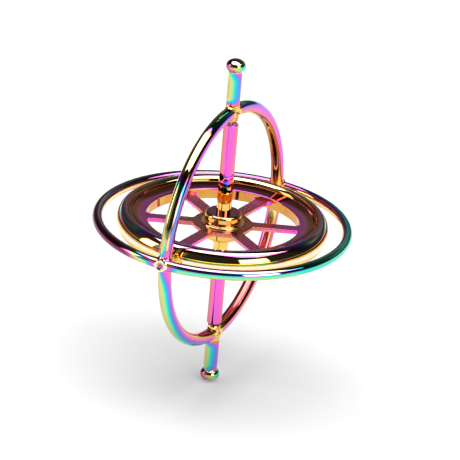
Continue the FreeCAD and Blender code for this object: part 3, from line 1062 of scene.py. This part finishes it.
# ---- light ----
# Turn is in degrees from the front, positive to the right, and height is in degrees above the table.
# A span is (low, high, width of its soft edge), and a box has one span for each of two directions.
# A pair of starts is where something sets in and where it is full.
BOX_BRIGHTNESS = 3.8
OVERHEAD_BOX = ((-0.7, 1, 0.08), (-0.5, 0.33, 0.06))
OVERHEAD_STARTS = (20, 30)
# The right end of the overhead box is swung this far towards the back.
SWUNG_END = (0.6, 0.95)
SWING = 0.2
RIGHT_WINDOW = ((48, 79, 4), (4, 32, 6))
LEFT_STRIP = ((-68, -50, 3), (4, 32, 5))
LEFT_WALL = ((-54, -13, 8), (10, 36, 8))
LEFT_WALL_SHARE = 0.06
BACK_WALL_STARTS = (135, 150)
BACK_WALL_HEIGHT = (16, 30, 5)
BACK_WALL_BRIGHTNESS = 0.12
# Brightness of the room by turn, and how it falls off towards the ceiling.
ROOM_LEVELS = (
    (-180, 0.08), (-150, 0.08), (-115, 0.06), (-60, 0.05), (-25, 0.03), (20, 0.02),
    (80, 0.02), (125, 0.012), (150, 0.05), (180, 0.08),
)
CEILING_STARTS = (30, 62)
CEILING_SHARE = 0.2
# The far end of the sweep is a low bright band; its top and brightness in front, and behind.
BEHIND_STARTS = (105, 130)
SWEEP_TOP = (9, 4)
SWEEP_BRIGHTNESS = (0.45, 0.8)


def soft_span(wiring, value, low, high, edge):
    """1 between low and high, easing to 0 over the edge's width."""
    rise = wiring.eased_between(value, low - edge / 2, low + edge / 2)
    fall = wiring.eased_between(value, high - edge / 2, high + edge / 2, 1, 0)
    return wiring.math("MULTIPLY", rise, fall)


def soft_box(wiring, across, along, spans):
    """1 inside a box with soft edges, 0 outside."""
    first = soft_span(wiring, across, *spans[0])
    second = soft_span(wiring, along, *spans[1])
    return wiring.math("MULTIPLY", first, second)


def overhead_light(wiring, direction, height):
    """The large box overhead, laid out on a level ceiling."""
    x, y, z = direction
    above = wiring.math("MAXIMUM", z, 0.05)
    across = wiring.math("DIVIDE", x, above)
    swing = wiring.eased_between(across, *SWUNG_END, 0, SWING)
    along = wiring.math("SUBTRACT", wiring.math("DIVIDE", y, above), swing)
    overhead = soft_box(wiring, across, along, OVERHEAD_BOX)
    return wiring.math("MULTIPLY", overhead, wiring.eased_between(height, *OVERHEAD_STARTS))


def boxes_light(wiring, direction, turn, height):
    """The lit boxes: overhead, a window at the right front, a strip and a faint wall at the left."""
    overhead = overhead_light(wiring, direction, height)
    window = soft_box(wiring, turn, height, RIGHT_WINDOW)
    strip = soft_box(wiring, turn, height, LEFT_STRIP)
    wall = wiring.math("MULTIPLY", soft_box(wiring, turn, height, LEFT_WALL), LEFT_WALL_SHARE)
    boxes = wiring.math("MAXIMUM", overhead, window)
    boxes = wiring.math("MAXIMUM", boxes, wiring.math("MAXIMUM", strip, wall))
    return wiring.math("MULTIPLY", boxes, BOX_BRIGHTNESS)


def room_light(wiring, turn, backwards, height):
    """The dark room, with a paler wall behind the gyroscope."""
    share = wiring.math("MULTIPLY_ADD", turn, 1 / 360, 0.5)
    stops = [((place + 180) / 360, (level, level, level, 1)) for place, level in ROOM_LEVELS]
    fall_off = wiring.eased_between(height, *CEILING_STARTS, 1, CEILING_SHARE)
    room = wiring.math("MULTIPLY", wiring.ramp(share, stops), fall_off)
    rise = wiring.eased_between(backwards, *BACK_WALL_STARTS)
    back_wall = wiring.math("MULTIPLY", rise, soft_span(wiring, height, *BACK_WALL_HEIGHT))
    return wiring.math("ADD", room, wiring.math("MULTIPLY", back_wall, BACK_WALL_BRIGHTNESS))


def sweep_light(wiring, backwards, height):
    """The far part of the white sweep, fading out at its top."""
    top = wiring.eased_between(backwards, *BEHIND_STARTS, *SWEEP_TOP)
    sweep = wiring.eased_between(wiring.math("DIVIDE", height, top), 0.1, 1, 1, 0)
    brightness = wiring.eased_between(backwards, *BEHIND_STARTS, *SWEEP_BRIGHTNESS)
    return wiring.math("MULTIPLY", sweep, brightness)


def add_studio():
    """All the light comes from the surroundings, by direction."""
    world = bpy.data.worlds.new("studio")
    bpy.context.scene.world = world
    world.use_nodes = True
    wiring = Wiring(world.node_tree)
    split = wiring.put("ShaderNodeSeparateXYZ")
    wiring.join(wiring.put("ShaderNodeTexCoord").outputs["Generated"], split.inputs[0])
    x, y, z = split.outputs
    turn = wiring.math("DEGREES", wiring.math("ARCTAN2", x, wiring.math("MULTIPLY", y, -1)))
    backwards = wiring.math("ABSOLUTE", turn)
    height = wiring.math("DEGREES", wiring.math("ARCSINE", z))
    boxes = boxes_light(wiring, (x, y, z), turn, height)
    room = room_light(wiring, turn, backwards, height)
    level = wiring.math("MAXIMUM", wiring.math("ADD", boxes, room), sweep_light(wiring, backwards, height))
    wiring.join(level, world.node_tree.nodes["Background"].inputs["Color"])


add_camera()
add_floor()
add_studio()
bpy.context.scene.view_settings.view_transform = "Standard"
bpy.context.scene.cycles.caustics_reflective = False
